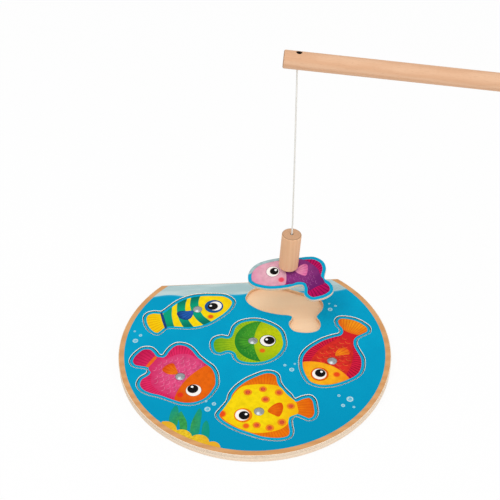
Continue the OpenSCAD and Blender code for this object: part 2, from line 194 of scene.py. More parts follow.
def paint(colour):
    # a colour as it is seen, 0 to 255, as the light values that a node wants
    def light(value):
        value = value / 255
        return value / 12.92 if value <= 0.04045 else ((value + 0.055) / 1.055) ** 2.4
    return tuple(light(channel) for channel in colour) + (1.0,)


def lit(colour):
    # paints a plain colour; links and light values pass through
    return colour if isinstance(colour, Value) or len(colour) == 4 else paint(colour)


def shade(colour, factor):
    return tuple(min(1.0, channel * factor) for channel in paint(colour)[:3]) + (1.0,)


def around(a, b, centre=(0, 0)):
    return ((a - centre[0]) ** 2 + (b - centre[1]) ** 2) ** 0.5


def newMaterial(name, roughness=0.5, metallic=0.0, shine=0.5):
    material = bpy.data.materials.new(name)
    material.use_nodes = True
    shader = material.node_tree.nodes["Principled BSDF"]
    shader.inputs["Roughness"].default_value = roughness
    shader.inputs["Metallic"].default_value = metallic
    shader.inputs["Specular IOR Level"].default_value = shine
    return material, Tree(material.node_tree), shader


def cover(tree, shader, colour, height=None, distance=0.0, strength=1.0):
    tree.plug(shader.inputs["Base Color"], colour)
    if height is not None:
        tree.plug(shader.inputs["Normal"], tree.node(
            "ShaderNodeBump", None, {"Height": height, "Strength": strength, "Distance": distance}))


# Wood

woodLooks = {
    "rim": {"pale": (220, 166, 112), "dark": (203, 145, 91), "rings": 0.16, "roughness": 0.6},
    "floor": {"pale": (250, 214, 176), "dark": (242, 200, 160), "rings": 0.12, "roughness": 0.6},
    # margin is pale sanded wood, made whiter still as a painted highlight on the rounded recess edge
    "margin": {"pale": (255, 252, 246), "dark": (250, 243, 232), "rings": 0.2, "roughness": 0.6},
    "wall": {"pale": (240, 206, 168), "dark": (222, 182, 140), "rings": 0.4, "roughness": 0.7},
    # gap is the same whitened wood, as painted highlight, at the top of a filled recess's wall
    "gap": {"pale": (253, 247, 238), "dark": (246, 237, 224), "rings": 0.4, "roughness": 0.7},
    "rod": {"pale": (226, 184, 150), "dark": (214, 166, 130), "rings": 0.3, "roughness": 0.55},
    "turned": {"pale": (238, 190, 150), "dark": (230, 180, 140), "rings": 0.3, "roughness": 0.55},
}
grain = {"pith": (38, -61), "wander": 9.0, "ringShare": 0.45, "fibreShare": 0.75, "bump": 0.00008}
# end faces of turned pieces: end grain's pores, darkened further as painted shade, and a dark ring at the rim
endGrainAndShade = {"pale": 0.82, "pores": 0.66, "edge": 0.4, "edgeWidth": 1.0, "depth": 0.4}
# near black for painted shade in bores, holes and the narrow gaps round the fish in their recesses
paintedShade = (34, 28, 26)


def woodColour(tree, x, y, z, look, flecks=0.0):
    # grain runs along X: year rings about a far pith, with fine fibres and flecks
    wander = tree.streaks(x * 0.012, y * 0.05, z * 0.05, 3.0)
    far = around(y, z, grain["pith"])
    rings = ((far + wander * grain["wander"]) * look["rings"] * 2 * math.pi).sin() * 0.5 + 0.5
    fibres = tree.streaks(x * 0.05, y * 2.2, z * 2.2, 4.0, 0.6)
    tone = rings * grain["ringShare"] + fibres * grain["fibreShare"] - 0.1
    colour = tree.mix(look["pale"], look["dark"], tone.step(0.0, 1.0))
    if flecks:
        fleck = tree.streaks(x * 0.28, y * 3.1, z * 3.1, 1.0).step(0.62, 0.72)
        colour = tree.mix(colour, shade(look["dark"], 0.78), fleck * flecks)
    return colour, fibres


def woodMaterial(name, look, origin=(0, 0, 0), turn=(0, 0, 0), flecks=0.0, ends=None, hole=None):
    # ends are where a turned piece starts and stops along its grain, its radius, its axis's height and the
    # radius of a bore along the axis, filled with painted shade; hole is the radius of a hole across it at
    # its origin, the height of its middle and how far from there the painted shade in it starts; all in mm
    material, tree, shader = newMaterial(name, look["roughness"], shine=0.15)
    x, y, z = tree.split(tree.place(origin, turn))
    colour, fibres = woodColour(tree, x, y, z, look, flecks)
    if ends:
        start, stop, radius, middle, bore = ends
        start, stop = start + endGrainAndShade["depth"], stop - endGrainAndShade["depth"]
        dark, rim = look["dark"], radius - endGrainAndShade["edgeWidth"]
        out = around(y, z, (0, middle))
        # the end faces are end grain, darkened further as painted shade
        pores = tree.streaks(0.0, y * 1.6, z * 1.6, 3.0).step(0.4, 0.7)
        face = tree.mix(shade(dark, endGrainAndShade["pale"]), shade(dark, endGrainAndShade["pores"]), pores)
        face = tree.mix(face, shade(dark, endGrainAndShade["edge"]), out.step(rim, rim + 0.3) * 0.8)
        sawn = (1 - x.step(start - 0.15, start)).most(x.step(stop, stop + 0.15))
        colour = tree.mix(colour, face, sawn)
        # painted shade inside the bore
        colour = tree.mix(colour, paintedShade, 1 - out.step(bore + 0.05, bore + 0.2))
    if hole:
        radius, middle, start = hole
        # painted shade on the hole's walls, from a little below its mouth
        near = 1 - around(x, y).step(radius + 0.05, radius + 0.15)
        deep = 1 - abs(z - middle).step(start - 0.9, start - 0.3)
        colour = tree.mix(colour, paintedShade, near * deep)
    cover(tree, shader, colour, fibres, grain["bump"], 0.2)
    return material


def gapMaterial(name, look, depth, bright):
    # the wall of a filled recess: pale wood whitened as painted highlight at the top, painted shade below
    material, tree, shader = newMaterial(name, look["roughness"], shine=0.1)
    x, y, z = tree.split(tree.place())
    colour = woodColour(tree, x, y, z, look)[0]
    cover(tree, shader, tree.mix(paintedShade, colour, z.step(depth, bright)))
    return material


plyLook = {
    "outer": (239, 220, 196),
    "cross": (236, 210, 188),
    "glue": (216, 186, 156),
    "plies": 3,
    "crossShare": 0.7,
    "glueShare": 0.25,
    "charredFrom": 0.35,    # painted gap shade on a fish's edge begins this far below its upper face
    "charredDeep": 0.8,    # and is full from here down
}


def plyColour(tree, x, y, z, low, high):
    # the sawn edge of plywood between two heights of the piece's own frame, in mm
    wave = tree.streaks(x * 0.08, y * 0.08, 0.0, 2.0) * 0.16 - 0.08
    height = ((z - low) / (high - low) + wave) * plyLook["plies"]
    cross = 1 - abs(height - plyLook["plies"] / 2).step(0.45, 0.55)
    glue = abs(height.fract() - 0.5).step(0.40, 0.47)
    ends = tree.streaks(x * 1.1, y * 1.1, z * 0.7, 4.0, 0.65)
    along = tree.streaks(x * 0.15, y * 0.15, z * 4.0, 3.0)
    outer = tree.mix(plyLook["outer"], shade(plyLook["outer"], 0.88), along.step(0.3, 0.75))
    inner = tree.mix(plyLook["cross"], shade(plyLook["cross"], 0.8), ends.step(0.35, 0.75))
    colour = tree.mix(outer, inner, cross * plyLook["crossShare"])
    return tree.mix(colour, plyLook["glue"], glue * plyLook["glueShare"]), ends


def plyEdgeMaterial(name, low, high, origin=(0, 0, 0), turn=(0, 0, 0), charred=0.0):
    material, tree, shader = newMaterial(name, 0.7, shine=0.2)
    x, y, z = tree.split(tree.place(origin, turn))
    colour, ends = plyColour(tree, x, y, z, low, high)
    if charred:
        # painted shade on the lower part of the edge, for the gap round a fish in its recess
        gapShadeMask = 1 - z.step(high - plyLook["charredDeep"], high - plyLook["charredFrom"])
        colour = tree.mix(colour, paintedShade, gapShadeMask * charred)
    cover(tree, shader, colour, ends, 0.0001, 0.4)
    return material


def sheetMaterial(name, look, low, high):
    # a whole sheet: veneer inside, plies on its outer edge
    material, tree, shader = newMaterial(name, look["roughness"], shine=0.2)
    x, y, z = tree.split(tree.place())
    face, fibres = woodColour(tree, x, y, z, look)
    sawn = plyColour(tree, x, y, z, low, high)[0]
    inner, outer = board["bevel"] + 0.15, board["bevel"] + 0.05
    edge = around(x, y).step(board["radius"] - inner, board["radius"] - outer).most(
        y.step(board["back"] - inner, board["back"] - outer))
    cover(tree, shader, tree.mix(face, sawn, edge), fibres, grain["bump"], 0.35)
    return material


# Printed inks: a flat colour with a soft shade, brush marks, and rays or bands

inkWear = {"roughness": 0.55, "bump": 0.00005, "bandSoft": 0.18, "rayStart": 3.0}


def inkMaterial(name, colour, dark=None, origin=(0, 0, 0), turn=(0, 0, 0), centre=None, reach=(4.0, 20.0),
                rays=None, bands=None, blushes=(), mottle=0.12, mottleSize=5.0):
    material, tree, shader = newMaterial(name, inkWear["roughness"], shine=0.05)
    x, y = tree.split(tree.place(origin, turn))[:2]
    flat = tree.join(x, y, 0.0)
    cloud = tree.noise(flat, 1.0 / mottleSize, 3.0, 0.55)
    made = tree.mix(colour, shade(colour, 1 - mottle * 1.6), cloud.step(0.35, 0.75))
    if centre:
        soft = (around(x, y, centre) + (cloud - 0.5) * 5.0).step(*reach)
        made = tree.mix(made, dark or shade(colour, 0.7), soft)
    if bands:
        blur = inkWear["bandSoft"]
        inBand = None
        for middle, outer in bands["arcs"]:
            away = around(x, y, middle) + (cloud - 0.5) * 0.9
            inner = outer - bands["width"]
            one = away.step(inner - blur, inner + blur) * (1 - away.step(outer - blur, outer + blur))
            inBand = inBand.most(one) if inBand else one
        bandInk = tree.mix(bands["colour"], bands["dark"], abs(y + 1.5).step(4.0, 17.0))
        made = tree.mix(made, bandInk, inBand)
    if rays:
        turnAbout = (y - rays["centre"][1]).math("ARCTAN2", x - rays["centre"][0])
        wobble = tree.noise(flat, 0.35, 1.0) * 0.8
        line = ((turnAbout * rays["count"] + wobble).sin() * 0.5 + 0.5).step(0.72, 0.98)
        line = line * around(x, y, rays["centre"]).step(rays["inner"], rays["inner"] + inkWear["rayStart"])
        if "left" in rays:
            line = line * (1 - x.step(rays["left"] - 0.3, rays["left"]))
        made = tree.mix(made, rays["colour"], line * rays["strength"])
    for cheek in blushes:
        away = around(x, y, cheek["centre"]) + (cloud - 0.5) * 0.8
        made = tree.mix(cheek["colour"], made, away.step(cheek["radius"] * 0.45, cheek["radius"]))
    brushed = tree.streaks(x * 0.1, y * 2.6, 0.0, 3.0)
    cover(tree, shader, made, brushed, inkWear["bump"], 0.25)
    return material


def metalMaterial(name, colour, roughness, brush=0.0):
    material, tree, shader = newMaterial(name, roughness, metallic=1.0)
    speck = tree.noise(tree.place(), 0.8, 4.0)
    cover(tree, shader, tree.mix(colour, shade(colour, 0.86), speck.step(0.3, 0.8)))
    tree.plug(shader.inputs["Roughness"], speck * brush + roughness)
    return material


def cordMaterial(name, pale, dark):
    material, tree, shader = newMaterial(name, 0.85)
    fuzz = tree.noise(tree.place(), 6.0, 3.0)
    cover(tree, shader, tree.mix(pale, dark, fuzz.step(0.35, 0.8)), fuzz, 0.00006, 0.5)
    return material


# Meshes: outlines in mm, in a piece's own frame, and a matrix that puts it in its place

boardFrame = Matrix.Identity(4)


def unitPlace(matrix):
    return matrix @ Matrix.Scale(mm, 4)


def turnOf(matrix):
    return tuple(matrix.to_euler("XYZ"))


def addPiece(name, mesh, standsFor=None):
    piece = addObject(name, mesh)
    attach(piece, "root")
    if standsFor:
        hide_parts(standsFor)
    return piece


def meshOf(name, bm):
    mesh = bpy.data.meshes.new(name)
    bm.to_mesh(mesh)
    bm.free()
    return mesh


def makePiece(name, bm, materials, place=None, standsFor=None):
    if place is not None:
        bmesh.ops.transform(bm, matrix=unitPlace(place), verts=bm.verts)
    bmesh.ops.recalc_face_normals(bm, faces=bm.faces)
    mesh = meshOf(name, bm)
    for material in materials:
        mesh.materials.append(material)
    return addPiece(name, mesh, standsFor)


def between(a, b, c, d, t):
    return (2 * b + (c - a) * t + (2 * a - 5 * b + 4 * c - d) * t * t + (3 * b - a - 3 * c + d) * t ** 3) / 2


def smoothLoop(points, steps=6):
    spots = [Vector(p) for p in points]
    count = len(spots)
    return [
        between(spots[i - 1], spots[i], spots[(i + 1) % count], spots[(i + 2) % count], j / steps)
        for i in range(count) for j in range(steps)
    ]


def onCircle(radius, turn):
    return Vector((radius * math.cos(turn), radius * math.sin(turn)))


def circleLoop(centre, radius, sides=48):
    return [Vector(centre) + onCircle(radius, 2 * math.pi * k / sides) for k in range(sides)]


def area(loop):
    return sum(loop[i - 1].x * loop[i].y - loop[i].x * loop[i - 1].y for i in range(len(loop))) / 2


def movedLoop(loop, by):
    # every point moved along its own normal, outwards on an anticlockwise loop
    made = []
    for i in range(len(loop)):
        along = (loop[(i + 1) % len(loop)] - loop[i - 1]).normalized()
        made.append(loop[i] + Vector((along.y, -along.x)) * by)
    return made


def joinRows(bm, low, high, slot=0):
    # a smooth band of faces between two rows; a row that repeats one vertex gives triangles
    for k in range(len(low)):
        after = (k + 1) % len(low)
        face = bm.faces.new(tuple(dict.fromkeys((low[k], low[after], high[after], high[k]))))
        face.material_index = slot
        face.smooth = True


def addPlate(bm, outlines, rings, capSlot, footSlot):
    # outlines give a loop for each inset into the material; rings are (inset, height, slot) from the foot up
    feet, caps = [], []
    for outline in outlines:
        rows = []
        for inset, height, slot in rings:
            rows.append([bm.verts.new((p.x, p.y, height)) for p in outline(inset)])
        for (inset, height, slot), low, high in zip(rings[1:], rows, rows[1:]):
            joinRows(bm, low, high, slot)
        for edges, row in ((feet, rows[0]), (caps, rows[-1])):
            edges += [bm.edges.get((row[k - 1], row[k])) for k in range(len(row))]
    for edges, slot, up in ((feet, footSlot, -1), (caps, capSlot, 1)):
        filled = bmesh.ops.triangle_fill(bm, use_beauty=True, edges=edges, normal=(0, 0, up))
        for item in filled["geom"]:
            if isinstance(item, bmesh.types.BMFace):
                item.material_index = slot


def fixed(loop):
    return lambda inset: loop


def outwardHole(loop, share):
    # a hole's edge is eased less than the outer edge, by this share
    return lambda inset: movedLoop(loop, inset * share)[::-1]


quarterTurn = [math.pi / 2 * k / 4 for k in range(5)]    # the steps of a rounded edge


def roundedFoot(low, size, slot):
    return [(size * (1 - math.sin(t)), low + size * (1 - math.cos(t)), slot) for t in quarterTurn]


def roundedHead(high, size, slot):
    return [(size * (1 - math.cos(t)), high - size * (1 - math.sin(t)), slot) for t in quarterTurn]


def cadLoops(nodeName, place, height):
    # the outlines of the CAD node's flat face at a height of the piece's own frame, widest first
    work = bmesh.new()
    work.from_mesh(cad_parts[nodeName].data)
    work.transform(unitPlace(place).inverted())
    bmesh.ops.remove_doubles(work, verts=work.verts, dist=0.003)
    flat = {f for f in work.faces if all(abs(v.co.z - height) < 0.02 for v in f.verts)}
    edges = {e for e in work.edges if len([f for f in e.link_faces if f in flat]) == 1}
    loops = []
    while edges:
        first, last = edges.pop().verts
        loop = [first, last]
        while last != first:
            step = next((e for e in last.link_edges if e in edges), None)
            if step is None:
                break
            edges.discard(step)
            last = step.other_vert(last)
            loop.append(last)
        points = [Vector((v.co.x, v.co.y)) for v in loop[:-1]]
        loops.append(points if area(points) > 0 else points[::-1])
    work.free()
    return sorted(loops, key=area, reverse=True)


def addTile(bm, loop, top, slot, bed=0.12):
    addPlate(bm, [fixed(loop)], [(0, top - bed, slot), (0, top, slot)], slot, slot)


def lathe(bm, profile, sides=64):
    # profile is (radius, height) from the axis at the foot to the axis at the top
    turns = [2 * math.pi * k / sides for k in range(sides)]
    rows = []
    for radius, height in profile:
        if radius < 1e-6:
            rows.append([bm.verts.new((0, 0, height))] * sides)
        else:
            rows.append([bm.verts.new((*onCircle(radius, turn), height)) for turn in turns])
    for low, high in zip(rows, rows[1:]):
        joinRows(bm, low, high)


# String: the route of the solid tube, made as three strands twisted together

cord = {
    "diameter": 1.3,
    "route": [
        (33, 50.5, 82.5), (33.2, 50.5, 86.5), (33.4, 50.5, 94.5), (33.5, 50.5, 109.5), (33.6, 50.5, 124.5),
        (33.7, 50.5, 139.5), (33.8, 50.5, 159.5), (33.9, 50.5, 179.5), (33.9, 50.5, 199.5), (34, 50.5, 219.5),
        (34, 50.5, 231.5),
    ],
    "strands": 3,
    "pitch": 5.0,
    "lobe": 0.13,
    "sides": 18,
    "ringEvery": 0.45,
    "holeDiameter": 2.2,
    "knotDiameter": 4.2,
    "pale": (238, 236, 230),
    "dark": (214, 210, 203),
}
holder = {"diameter": 16, "length": 34, "lean": 0.07, "magnetThickness": 5, "play": 0.1}
rodPlace = {"diameter": 13, "length": 200, "holeIn": 10.5, "droop": 5.4, "swing": 6.4, "knotDepth": 7}

holderAxis = Vector((holder["lean"], 0, 1)).normalized()
holderTop = Vector(cord["route"][0])
holderFoot = holderTop - holderAxis * holder["length"]
rodExit = Vector(cord["route"][-1])
rodTurn = Matrix.Rotation(math.radians(-rodPlace["swing"]), 4, "Z") @ Matrix.Rotation(
    math.radians(rodPlace["droop"]), 4, "Y")
rodUp = rodTurn.to_3x3() @ Vector((0, 0, 1))
knotRoom = cord["knotDiameter"] + 2 * holder["play"]
knotSeat = math.sqrt(cord["knotDiameter"] ** 2 - cord["holeDiameter"] ** 2) / 2
knotReach = (cord["knotDiameter"] - cord["diameter"] / 4) / 2 - knotSeat
holderHole = holder["length"] - holder["magnetThickness"] - knotRoom


def cordPath(every=6.0):
    spots = [
        holderTop - holderAxis * (holderHole - knotReach),
        holderTop - holderAxis * holderHole / 2,
        *[Vector(p) for p in cord["route"]],
        rodExit + rodUp * (rodPlace["diameter"] - rodPlace["knotDepth"] - knotReach),
    ]
    last = len(spots) - 1
    made = []
    for i in range(last):
        a, b, c, d = spots[max(i - 1, 0)], spots[i], spots[i + 1], spots[min(i + 2, last)]
        count = max(1, round((c - b).length / every))
        made += [between(a, b, c, d, j / count) for j in range(count)]
    return made + [spots[-1]]


def lengthOf(path):
    return sum((b - a).length for a, b in zip(path, path[1:]))


def evenPath(path, every):
    total = lengthOf(path)
    count = max(2, round(total / every))
    made, walked, i = [], 0.0, 0
    for k in range(count + 1):
        target = total * k / count
        while i < len(path) - 2 and walked + (path[i + 1] - path[i]).length < target:
            walked += (path[i + 1] - path[i]).length
            i += 1
        piece = path[i + 1] - path[i]
        made.append(path[i] + piece * min(1.0, (target - walked) / piece.length))
    return made


def addStrands(bm, path, closed=False):
    # a tube whose section has one lobe a strand, turning along its way
    radius, sides, lobe = cord["diameter"] / 2, cord["sides"], cord["lobe"]
    rows = []
    side = None
    walked = 0.0
    count = len(path)
    for i, spot in enumerate(path):
        ahead = (path[(i + 1) % count] - path[i - 1]) if closed else (
            path[min(i + 1, count - 1)] - path[max(i - 1, 0)])
        ahead.normalize()
        if side is None:
            side = ahead.cross(Vector((0, 1, 0.3))).normalized()
        side = (side - ahead * side.dot(ahead)).normalized()
        other = ahead.cross(side)
        if i:
            walked += (spot - path[i - 1]).length
        twist = 2 * math.pi * walked / cord["pitch"]
        row = []
        for k in range(sides):
            turn = 2 * math.pi * k / sides
            reach = min(radius, radius * (1 - lobe + lobe * abs(math.cos(cord["strands"] / 2 * turn)) * 1.6))
            row.append(bm.verts.new((spot + side * math.cos(turn + twist) * reach
                                     + other * math.sin(turn + twist) * reach) * mm))
        rows.append(row)
    for low, high in zip(rows, rows[1:]):
        joinRows(bm, low, high)
    if closed:
        joinRows(bm, rows[-1], rows[0])
    else:
        bm.faces.new(rows[0][::-1])
        bm.faces.new(rows[-1])


cordWhite = cordMaterial("twistedCotton", cord["pale"], cord["dark"])


def makeString(knots):
    path = cordPath()
    bm = bmesh.new()
    addStrands(bm, evenPath(path, cord["ringEvery"]))
    string = makePiece("fishingString", bm, [cordWhite], standsFor="string")
    tuple(path[0] * mm)
    lengthOf(path) * mm
    [tuple(p * mm) for p in path]
    print("string made:", round(lengthOf(path), 1), "mm long")


knot = {"turns": 140, "wide": 1.0, "thick": 0.42, "tall": 1.6}


def makeKnot(name, nodeName, centre, axis):
    # a trefoil pulled tight, with the string's own strands, inside the solid ball
    reach = cord["knotDiameter"] / 2 - cord["diameter"] / 2
    wide = knot["wide"] / (knot["wide"] + knot["thick"]) * reach
    thick = reach - wide
    path = []
    for k in range(knot["turns"]):
        turn = 2 * math.pi * k / knot["turns"]
        ring = wide + thick * math.cos(3 * turn)
        path.append(Vector((*onCircle(ring, 2 * turn), thick * knot["tall"] * math.sin(3 * turn))))
    turned = Vector((0, 0, 1)).rotation_difference(axis).to_matrix()
    bm = bmesh.new()
    addStrands(bm, [centre + turned @ p for p in path], closed=True)
    return makePiece(name, bm, [cordWhite], standsFor=nodeName)


makeString([
    makeKnot("holderKnot", "holder_knot",
             holderFoot + holderAxis * (holder["magnetThickness"] + knotRoom - knotSeat), holderAxis),
    makeKnot("rodKnot", "rod_knot",
             rodExit + rodUp * (rodPlace["diameter"] - rodPlace["knotDepth"] + knotSeat), rodUp),
])


# Places of the fish: x, y and turn on the board, or hanging from the magnet

board = {
    "radius": 110,
    "back": 78.5,
    "baseThickness": 4.5,
    "topThickness": 3,
    "rim": 4.6,
    "bevel": 0.8,
    "edgeRound": 0.45,
    "recessMargin": 0.5,
    "recessShare": 0.62,
    "emptyRecess": (32, 56),
    # the next two set the depths of the painted shade in a filled recess's wall and of its pale top, partly
    # painted highlight
    "cutDark": 0.95,    # a filled recess's wall is dark from this depth down
    "cutBright": 0.4,    # and pale from this one up
    "printBed": 0.1,
    "waterLine": 64,
    "arcSteps": 220,
    "backSteps": 24,
}
boardTop = board["baseThickness"] + board["topThickness"]
inkLevel = 0.03
# the last value is how strong the painted shade is on the edge of a fish standing in its recess
fishMade = {"thickness": 2.5, "border": 2.4, "roundTop": 0.3, "roundFoot": 0.3, "charred": 0.85}
stud = {"diameter": 8, "dome": 1.6, "shankDiameter": 3, "shankLength": 1.8, "gap": 0.05}
studBall = (stud["diameter"] ** 2 / 4 + stud["dome"] ** 2) / (2 * stud["dome"])
boardPlaces = {
    "striped": (-46, 47, 13),
    "green": (-1, 7, 4),
    "pink": (-60, -29, -33),
    "spotted": (0, -68, 2),
    "red": (61, -19, 58),
}
lifted = {"tip": 10, "roll": -5, "turn": 11, "right": 1.5, "behind": 1.6}


def boardPlace(x, y, turn):
    spot = Vector((x, y, board["baseThickness"])) * mm
    return Matrix.Translation(spot) @ Matrix.Rotation(math.radians(turn), 4, "Z")


def liftedPlace():
    centre = holderFoot - holderAxis * (studBall + stud["gap"])
    centre += Vector((holderAxis.z, 0, -holderAxis.x)) * lifted["right"]
    centre.y += lifted["behind"]
    made = Matrix.Translation(centre * mm)
    for key, axis in (("tip", "X"), ("roll", "Y"), ("turn", "Z")):
        made = made @ Matrix.Rotation(math.radians(lifted[key]), 4, axis)
    return made @ Matrix.Translation(Vector((0, 0, studBall - stud["dome"] - fishMade["thickness"])) * mm)


places = {name: boardPlace(*spot) for name, spot in boardPlaces.items()}
places["purple"] = liftedPlace()


# Board

seaLook = {
    "sea": (0, 161, 200),
    "seaDeep": (0, 152, 193),
    # seaFront is painted shade towards the front of the board
    "seaFront": (0, 144, 184),
    "sky": (168, 194, 196),
    "skyPale": (190, 210, 210),
    "foam": (150, 205, 218),
}


def seaMaterial():
    material, tree, shader = newMaterial("seaPrint", inkWear["roughness"], shine=0.03)
    x, y = tree.split(tree.place())[:2]
    cloud = tree.noise(tree.join(x, y, 0.0), 0.03, 3.0)
    wash = tree.streaks(x * 0.02, y * 0.12, 0.0, 3.0)
    # the two sines are the solid print's own water line
    wave = (x * math.radians(9)).sin() * 1.3 + (x * math.radians(4) + math.radians(60)).sin() * 0.8
    depth = y - wave - board["waterLine"]
    sea = tree.mix(seaLook["sea"], seaLook["seaDeep"], cloud.step(0.3, 0.7))
    sky = tree.mix(seaLook["sky"], seaLook["skyPale"], wash.step(0.35, 0.7))
    # painted shade: the sea darkens towards the front of the board
    sea = tree.mix(seaLook["seaFront"], sea, y.step(-board["radius"], 0.0))
    water = tree.mix(sea, seaLook["foam"], depth.step(-1.6, -0.3) * 0.2)
    colour = tree.mix(water, seaLook["foam"], depth.step(-0.1, 0.1))
    colour = tree.mix(colour, sky, depth.step(0.3, 0.5))
    brushed = tree.streaks(x * 0.08, y * 2.4, 0.0, 3.0)
    cover(tree, shader, colour, brushed, inkWear["bump"], 0.25)
    return material


def boardOutline(extra):
    # the round edge as an arc and the straight back, both moved in by an inset
    def outline(inset):
        radius = board["radius"] - extra - inset
        back = board["back"] - inset - (board["bevel"] if extra else 0)
        start = math.pi - math.asin(back / radius)
        sweep = 2 * math.pi - (math.pi - 2 * math.asin(back / radius))
        arc = [onCircle(radius, start + sweep * k / board["arcSteps"]) for k in range(board["arcSteps"] + 1)]
        steps = board["backSteps"]
        return arc + [arc[-1].lerp(arc[0], k / steps) for k in range(1, steps)]
    return outline


def makeBoard():
    low, dark, bright = board["baseThickness"], boardTop - board["cutDark"], boardTop - board["cutBright"]
    holes = [smoothLoop(loop, 2) for loop in cadLoops("top_board", boardFrame, low)[1:]]
    print("recesses found:", len(holes))
    materials = [
        woodMaterial("rimVeneer", woodLooks["rim"], flecks=0.5),
        plyEdgeMaterial("topPlyEdge", low, boardTop),
        woodMaterial("recessMargin", woodLooks["margin"]),
        woodMaterial("recessWall", woodLooks["wall"]),
        gapMaterial("gapWall", woodLooks["gap"], dark, bright),
    ]
    bm = bmesh.new()
    outlines = [boardOutline(0)] + [outwardHole(loop, board["recessShare"]) for loop in holes]
    # the wall of each recess has a small rounding, and a bare margin up to the print
    rings = [(0, low, 1), (0, dark, 1), (0, bright, 1), *roundedHead(boardTop, board["edgeRound"], 1),
             (board["recessMargin"], boardTop, 2)]
    addPlate(bm, outlines, rings, 0, 0)
    empty = min(holes, key=lambda loop: (
        sum(loop, Vector((0, 0))) / len(loop) - Vector(board["emptyRecess"])).length)
    for face in bm.faces:
        spot = face.calc_center_median()
        inside = spot.xy.length < board["radius"] - 2 and spot.y < board["back"] - 2
        if face.material_index == 1 and inside:    # a recess's wall, the empty one's or a filled one's
            near = min((p - spot.xy).length for p in empty) < 1.5
            face.material_index = 3 if near else 4
    makePiece("topBoard", bm, materials, boardFrame, "top_board")
    sea = bmesh.new()
    cut = board["recessMargin"] * board["recessShare"]
    printed = [boardOutline(board["rim"])] + [fixed(movedLoop(loop, cut)[::-1]) for loop in holes]
    addPlate(sea, printed, [(0, boardTop - board["printBed"], 0), (0, boardTop + inkLevel, 0)], 0, 0)
    makePiece("seaPrint", sea, [seaMaterial()], boardFrame)
    print("board made")


makeBoard()


# Geometry Nodes: round marks on chosen points, and rows of scales where a picture lies below

def newNodeTree(name, inputs):
    group = bpy.data.node_groups.new(name, "GeometryNodeTree")
    for label, kind, value in [("Geometry", "Geometry", None), *inputs]:
        socket = group.interface.new_socket(label, in_out="INPUT", socket_type="NodeSocket" + kind)
        if value is not None:
            socket.default_value = value
    group.interface.new_socket("Geometry", in_out="OUTPUT", socket_type="NodeSocketGeometry")
    tree = Tree(group)
    start = group.nodes.new("NodeGroupInput")
    finish = group.nodes.new("NodeGroupOutput")
    wires = {socket.name: Value(tree, socket) for socket in start.outputs if socket.name}
    return group, tree, wires, finish.inputs[0]


def roundMarksTree():
    # each point becomes a disc of its own size, with a core and a glint on top
    group, tree, wires, finish = newNodeTree("roundMarks", [
        ("Thickness", "Float", 0.04),
        ("Sides", "Int", 28),
        ("Core Share", "Float", 0.6),
        ("Glint Share", "Float", 0.2),
        ("Rim Material", "Material", None),
        ("Core Material", "Material", None),
        ("Glint Material", "Material", None),
    ])
    size = tree.node("GeometryNodeInputNamedAttribute", {"data_type": "FLOAT"}, {"Name": "size"})
    parts = []
    for share, shift, lift, label in (
            (1.0, 0.0, 0.0, "Rim Material"),
            (wires["Core Share"], 0.0, 1.0, "Core Material"),
            (wires["Glint Share"], 0.42, 2.0, "Glint Material")):
        disc = tree.node(
            "GeometryNodeMeshCircle", {"fill_type": "NGON"}, {"Vertices": wires["Sides"], "Radius": 1.0})
        solid = tree.node(
            "GeometryNodeExtrudeMesh", {"mode": "FACES"},
            {"Mesh": disc, "Offset": tree.join(0.0, 0.0, 1.0), "Offset Scale": 1.0, "Individual": False})
        foot = tree.node("GeometryNodeFlipFaces", None, {"Mesh": disc})
        merged = tree.node(
            "GeometryNodeMergeByDistance", None, {"Geometry": tree.gather([solid, foot]), "Distance": 0.0001})
        across = size * share
        spots = tree.node("GeometryNodeSetPosition", None, {
            "Geometry": wires["Geometry"],
            "Offset": tree.join(size * -shift, size * shift, wires["Thickness"] * lift)})
        placed = tree.node("GeometryNodeInstanceOnPoints", None, {
            "Points": spots, "Instance": merged, "Scale": tree.join(across, across, wires["Thickness"])})
        parts.append(tree.node(
            "GeometryNodeSetMaterial", None, {"Geometry": placed, "Material": wires[label]}))
    real = tree.node("GeometryNodeRealizeInstances", None, {"Geometry": tree.gather(parts)})
    tree.plug(finish, real)
    return group


